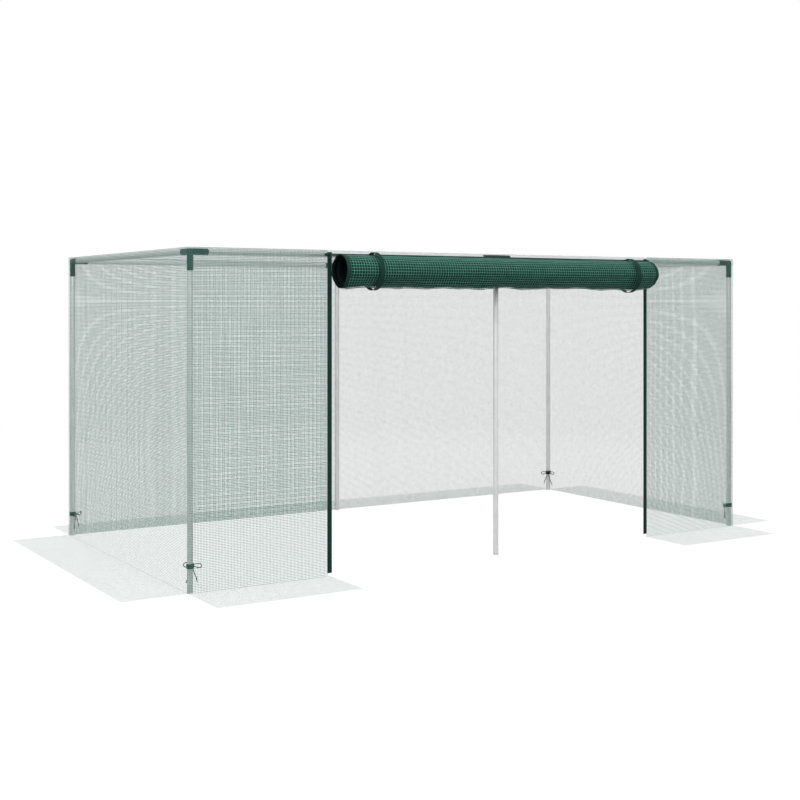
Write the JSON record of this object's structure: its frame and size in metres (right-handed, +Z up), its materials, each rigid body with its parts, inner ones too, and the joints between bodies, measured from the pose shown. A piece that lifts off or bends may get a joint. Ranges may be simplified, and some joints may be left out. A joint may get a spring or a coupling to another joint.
{
  "type": "fruit cage",
  "caption": "Net-covered tube frame for a garden bed, with ground skirts and a zipped front door held rolled up by straps.",
  "frame": {"origin": "on the ground, in the middle of the cage and its skirts", "axes": "+X along the front from left to right as seen from the door, +Y from the front to the back, +Z up"},
  "size_m": [2.8442, 1.6442, 1.0918],
  "materials": {
    "pole": "satin light grey paint on thin steel tube",
    "connector": "dark green moulded plastic",
    "cover_net": "fine dark green knitted net, mostly open",
    "door_net": "the same net in many layers",
    "zip_tape": "woven dark green tape",
    "webbing": "woven dark green webbing",
    "zip_coil": "dark nylon coil",
    "zip_slider": "dark enamelled metal",
    "cord": "dark twisted cord"
  },
  "bodies": {
    "cage": {"post_front_left": "pole", "post_front_right": "pole", "post_back_left": "pole", "post_back_right": "pole", "post_front_middle": "pole", "post_back_middle": "pole", "rail_front_left": "pole", "rail_front_right": "pole", "rail_back_left": "pole", "rail_back_right": "pole", "rail_side_left": "pole", "rail_side_right": "pole", "rail_roof_middle": "pole", "connector_front_left": "connector", "connector_front_right": "connector", "connector_back_left": "connector", "connector_back_right": "connector", "connector_front_middle": "connector", "connector_back_middle": "connector", "net_roof": "cover_net", "net_back": "cover_net", "net_left": "cover_net", "net_right": "cover_net", "net_front_left": "cover_net", "net_front_right": "cover_net", "skirt_back": "cover_net", "skirt_left": "cover_net", "skirt_right": "cover_net", "skirt_front_left": "cover_net", "skirt_front_right": "cover_net", "zip_tape_left": "zip_tape", "zip_tape_right": "zip_tape", "zip_coil_left": "zip_coil", "zip_coil_right": "zip_coil", "door_header": "webbing", "roll_strap_left": "webbing", "roll_strap_right": "webbing", "tie_wrap_front_left": "cord", "tie_wrap_front_right": "cord", "tie_wrap_back_left": "cord", "tie_wrap_back_right": "cord", "tie_bow_front_left": "cord", "tie_bow_front_right": "cord", "tie_bow_back_left": "cord", "tie_bow_back_right": "cord", "tie_tails_front_left": "cord", "tie_tails_front_right": "cord", "tie_tails_back_left": "cord", "tie_tails_back_right": "cord"},
    "door_net": {"door_net": "door_net"},
    "door_roll": {"door_roll": "door_net", "door_tape_left": "zip_tape", "door_tape_right": "zip_tape"},
    "zip_slider_left": {"zip_slider_left": "zip_slider"},
    "zip_pull_left": {"zip_pull_left": "zip_slider"},
    "zip_slider_right": {"zip_slider_right": "zip_slider"},
    "zip_pull_right": {"zip_pull_right": "zip_slider"}
  },
  "joints": [
    {"name": "door_drop", "type": "slide", "parent": "cage", "child": "door_net", "axis": [0, 0, -1], "range_m": [0, 0.95], "deforming": ["door_net", "roll_strap_left", "roll_strap_right"]},
    {"name": "door_turn", "type": "hinge", "parent": "door_net", "child": "door_roll", "pos_m": [0, -0.6609, 1.022], "axis": [1, 0, 0], "range_deg": [0, 1080]},
    {"name": "zip_slide_left", "type": "slide", "parent": "cage", "child": "zip_slider_left", "axis": [0, 0, -1], "range_m": [0, 1.03]},
    {"name": "zip_slide_right", "type": "slide", "parent": "cage", "child": "zip_slider_right", "axis": [0, 0, -1], "range_m": [0, 1.03]},
    {"name": "zip_pull_swing_left", "type": "hinge", "parent": "zip_slider_left", "child": "zip_pull_left", "pos_m": [-0.692, -0.6087, 1.068], "axis": [-1, 0, 0], "range_deg": [0, 170]},
    {"name": "zip_pull_swing_right", "type": "hinge", "parent": "zip_slider_right", "child": "zip_pull_right", "pos_m": [0.7195, -0.6087, 1.068], "axis": [-1, 0, 0], "range_deg": [0, 170]}
  ],
  "couplings": [
    {"joint": "door_turn", "follows": "door_drop", "rad_per_m": 19.84}
  ]
}
